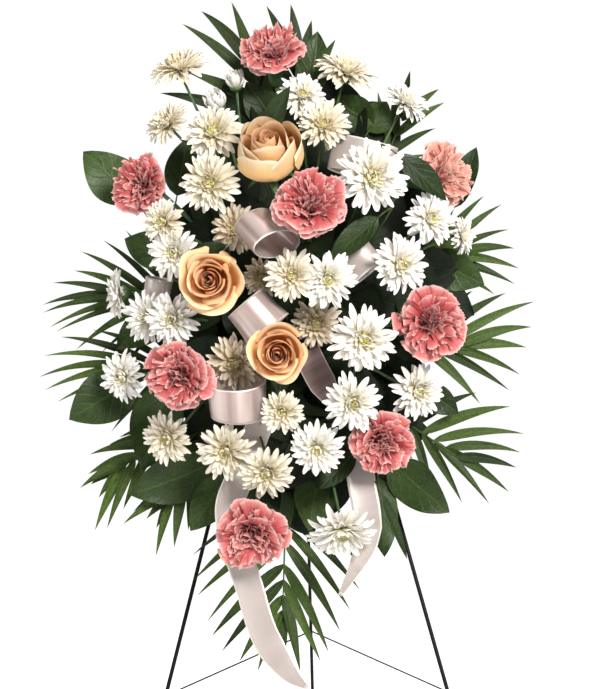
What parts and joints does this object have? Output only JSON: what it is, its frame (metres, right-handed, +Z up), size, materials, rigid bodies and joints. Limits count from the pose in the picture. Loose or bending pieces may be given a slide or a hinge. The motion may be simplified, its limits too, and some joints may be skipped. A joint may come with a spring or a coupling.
{
  "type": "standing funeral arrangement",
  "caption": "Standing funeral spray of carnations, roses and white spray chrysanthemums with palm, broad leaves and satin ribbon, in caged wet foam on a folding wire easel.",
  "frame": {"origin": "on the floor, midway between the front feet's line and the back foot, on the easel's middle plane", "axes": "+Z up, -Y the front that the flowers face, +X to the viewer's right"},
  "size_m": [0.6242, 0.7008, 1.3417],
  "materials": {
    "easel_black": "satin",
    "foam_green": "matte",
    "cage_plastic": "satin",
    "tie_wire": "satin",
    "pick_wood": "matte",
    "carnation_coral": "matte",
    "rose_peach": "matte",
    "mum_white": "matte",
    "palm_green": "satin",
    "leaf_green": "satin",
    "ribbon_satin": "satin"
  },
  "bodies": {
    "stand": {"bow_pick": "pick_wood", "cage_tray": "cage_plastic", "carnation_1": "carnation_coral", "carnation_2": "carnation_coral", "carnation_3": "carnation_coral", "carnation_4": "carnation_coral", "carnation_5": "carnation_coral", "carnation_6": "carnation_coral", "carnation_7": "carnation_coral", "carnation_8": "carnation_coral", "foam_block": "foam_green", "hinge_bar": "easel_black", "leaf_sprig_1": "leaf_green", "leaf_sprig_2": "leaf_green", "leaf_sprig_3": "leaf_green", "leaf_sprig_4": "leaf_green", "leaf_sprig_5": "leaf_green", "leaf_sprig_6": "leaf_green", "leaf_sprig_7": "leaf_green", "leaf_sprig_8": "leaf_green", "leaf_sprig_9": "leaf_green", "left_front_leg": "easel_black", "lower_crossbar": "easel_black", "lower_tie": "tie_wire", "mum_spray_1": "mum_white", "mum_spray_10": "mum_white", "mum_spray_11": "mum_white", "mum_spray_12": "mum_white", "mum_spray_13": "mum_white", "mum_spray_2": "mum_white", "mum_spray_3": "mum_white", "mum_spray_4": "mum_white", "mum_spray_5": "mum_white", "mum_spray_6": "mum_white", "mum_spray_7": "mum_white", "mum_spray_8": "mum_white", "mum_spray_9": "mum_white", "palm_frond_1": "palm_green", "palm_frond_10": "palm_green", "palm_frond_11": "palm_green", "palm_frond_2": "palm_green", "palm_frond_3": "palm_green", "palm_frond_4": "palm_green", "palm_frond_5": "palm_green", "palm_frond_6": "palm_green", "palm_frond_7": "palm_green", "palm_frond_8": "palm_green", "palm_frond_9": "palm_green", "ribbon_bow": "ribbon_satin", "ribbon_tail_left": "ribbon_satin", "ribbon_tail_right": "ribbon_satin", "right_front_leg": "easel_black", "rose_1": "rose_peach", "rose_2": "rose_peach", "rose_3": "rose_peach", "upper_crossbar": "easel_black", "upper_tie": "tie_wire"},
    "back_leg": {"back_leg": "easel_black"},
    "brace": {"brace": "easel_black"}
  },
  "joints": [
    {"name": "back_leg_fold", "type": "hinge", "parent": "stand", "child": "back_leg", "pos_m": [0, -0.10818, 1.13], "axis": [-1, 0, 0], "range_deg": [0, 30]},
    {"name": "brace_fold", "type": "hinge", "parent": "stand", "child": "brace", "pos_m": [0, -0.21196, 0.622], "axis": [-1, 0, 0], "range_deg": [0, 90]}
  ],
  "couplings": [
    {"joint": "brace_fold", "follows": "back_leg_fold", "ratio": 3}
  ]
}
